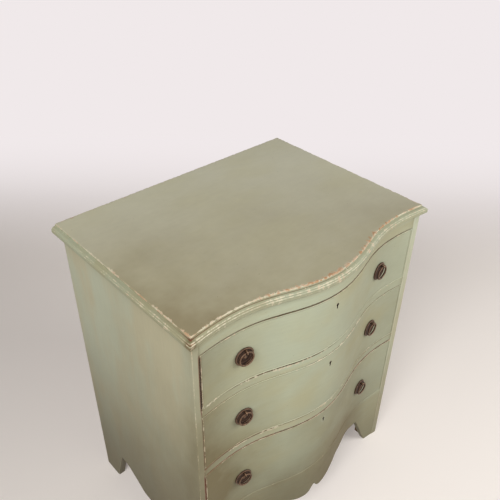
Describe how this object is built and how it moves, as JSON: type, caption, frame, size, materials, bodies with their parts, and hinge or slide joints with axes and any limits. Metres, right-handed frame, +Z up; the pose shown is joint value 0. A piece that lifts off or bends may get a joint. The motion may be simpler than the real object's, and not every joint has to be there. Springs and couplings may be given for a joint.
{
  "type": "chest of drawers",
  "caption": "Painted chest of long drawers with a serpentine front, moulded top, ring pulls, shaped apron and bracket feet.",
  "frame": {"origin": "centre of the footprint's bounding box, on the floor that the feet stand on", "axes": "+X to the right as seen from the front, +Y to the back, +Z up; the drawers open towards -Y"},
  "size_m": [0.6796, 0.5224, 0.7954],
  "materials": {
    "painted_top": "rubbed grey-green paint over a khaki wash, low sheen",
    "painted_case": "sage green paint, distressed at the edges, low sheen",
    "painted_front": "sage green paint, distressed at the edges, low sheen",
    "drawer_pine": "bare aged pine",
    "carcase_pine": "bare darkened pine",
    "dark_bronze": "dark aged bronze with rubbed highlights",
    "iron": "dull aged iron"
  },
  "bodies": {
    "carcase": {"top": "painted_top", "side_left": "painted_case", "side_right": "painted_case", "top_rail": "painted_case", "divider_upper": "painted_case", "divider_lower": "painted_case", "apron": "painted_case", "back_board_1": "carcase_pine", "back_board_2": "carcase_pine", "bottom_board": "carcase_pine", "back_rail": "carcase_pine", "kicker_left": "carcase_pine", "kicker_right": "carcase_pine", "runner_upper_left": "carcase_pine", "runner_upper_right": "carcase_pine", "runner_lower_left": "carcase_pine", "runner_lower_right": "carcase_pine", "foot_block_front_left": "carcase_pine", "foot_block_front_right": "carcase_pine", "foot_block_back_left": "carcase_pine", "foot_block_back_right": "carcase_pine", "stop_upper": "carcase_pine", "stop_middle": "carcase_pine", "stop_lower": "carcase_pine"},
    "drawer_1": {"drawer_1_front": "painted_front", "drawer_1_side_left": "drawer_pine", "drawer_1_side_right": "drawer_pine", "drawer_1_back": "drawer_pine", "drawer_1_bottom": "drawer_pine", "drawer_1_lock": "iron", "drawer_1_plate_left": "dark_bronze", "drawer_1_eye_bolt_left": "dark_bronze", "drawer_1_plate_right": "dark_bronze", "drawer_1_eye_bolt_right": "dark_bronze"},
    "drawer_1_ring_left": {"drawer_1_ring_left": "dark_bronze"},
    "drawer_1_ring_right": {"drawer_1_ring_right": "dark_bronze"},
    "drawer_2": {"drawer_2_front": "painted_front", "drawer_2_side_left": "drawer_pine", "drawer_2_side_right": "drawer_pine", "drawer_2_back": "drawer_pine", "drawer_2_bottom": "drawer_pine", "drawer_2_lock": "iron", "drawer_2_plate_left": "dark_bronze", "drawer_2_eye_bolt_left": "dark_bronze", "drawer_2_plate_right": "dark_bronze", "drawer_2_eye_bolt_right": "dark_bronze"},
    "drawer_2_ring_left": {"drawer_2_ring_left": "dark_bronze"},
    "drawer_2_ring_right": {"drawer_2_ring_right": "dark_bronze"},
    "drawer_3": {"drawer_3_front": "painted_front", "drawer_3_side_left": "drawer_pine", "drawer_3_side_right": "drawer_pine", "drawer_3_back": "drawer_pine", "drawer_3_bottom": "drawer_pine", "drawer_3_lock": "iron", "drawer_3_plate_left": "dark_bronze", "drawer_3_eye_bolt_left": "dark_bronze", "drawer_3_plate_right": "dark_bronze", "drawer_3_eye_bolt_right": "dark_bronze"},
    "drawer_3_ring_left": {"drawer_3_ring_left": "dark_bronze"},
    "drawer_3_ring_right": {"drawer_3_ring_right": "dark_bronze"}
  },
  "joints": [
    {"name": "drawer_1_slide", "type": "slide", "parent": "carcase", "child": "drawer_1", "axis": [0, -1, 0], "range_m": [0, 0.32]},
    {"name": "drawer_1_ring_left_swing", "type": "hinge", "parent": "drawer_1", "child": "drawer_1_ring_left", "pos_m": [-0.20617, -0.21443, 0.684], "axis": [-0.9925, 0.1221, 0], "range_deg": [-3, 160]},
    {"name": "drawer_1_ring_right_swing", "type": "hinge", "parent": "drawer_1", "child": "drawer_1_ring_right", "pos_m": [0.20617, -0.21443, 0.684], "axis": [-0.9925, -0.1221, 0], "range_deg": [-3, 160]},
    {"name": "drawer_2_slide", "type": "slide", "parent": "carcase", "child": "drawer_2", "axis": [0, -1, 0], "range_m": [0, 0.32]},
    {"name": "drawer_2_ring_left_swing", "type": "hinge", "parent": "drawer_2", "child": "drawer_2_ring_left", "pos_m": [-0.20617, -0.21443, 0.5105], "axis": [-0.9925, 0.1221, 0], "range_deg": [-3, 160]},
    {"name": "drawer_2_ring_right_swing", "type": "hinge", "parent": "drawer_2", "child": "drawer_2_ring_right", "pos_m": [0.20617, -0.21443, 0.5105], "axis": [-0.9925, -0.1221, 0], "range_deg": [-3, 160]},
    {"name": "drawer_3_slide", "type": "slide", "parent": "carcase", "child": "drawer_3", "axis": [0, -1, 0], "range_m": [0, 0.32]},
    {"name": "drawer_3_ring_left_swing", "type": "hinge", "parent": "drawer_3", "child": "drawer_3_ring_left", "pos_m": [-0.20617, -0.21443, 0.3], "axis": [-0.9925, 0.1221, 0], "range_deg": [-3, 160]},
    {"name": "drawer_3_ring_right_swing", "type": "hinge", "parent": "drawer_3", "child": "drawer_3_ring_right", "pos_m": [0.20617, -0.21443, 0.3], "axis": [-0.9925, -0.1221, 0], "range_deg": [-3, 160]}
  ]
}
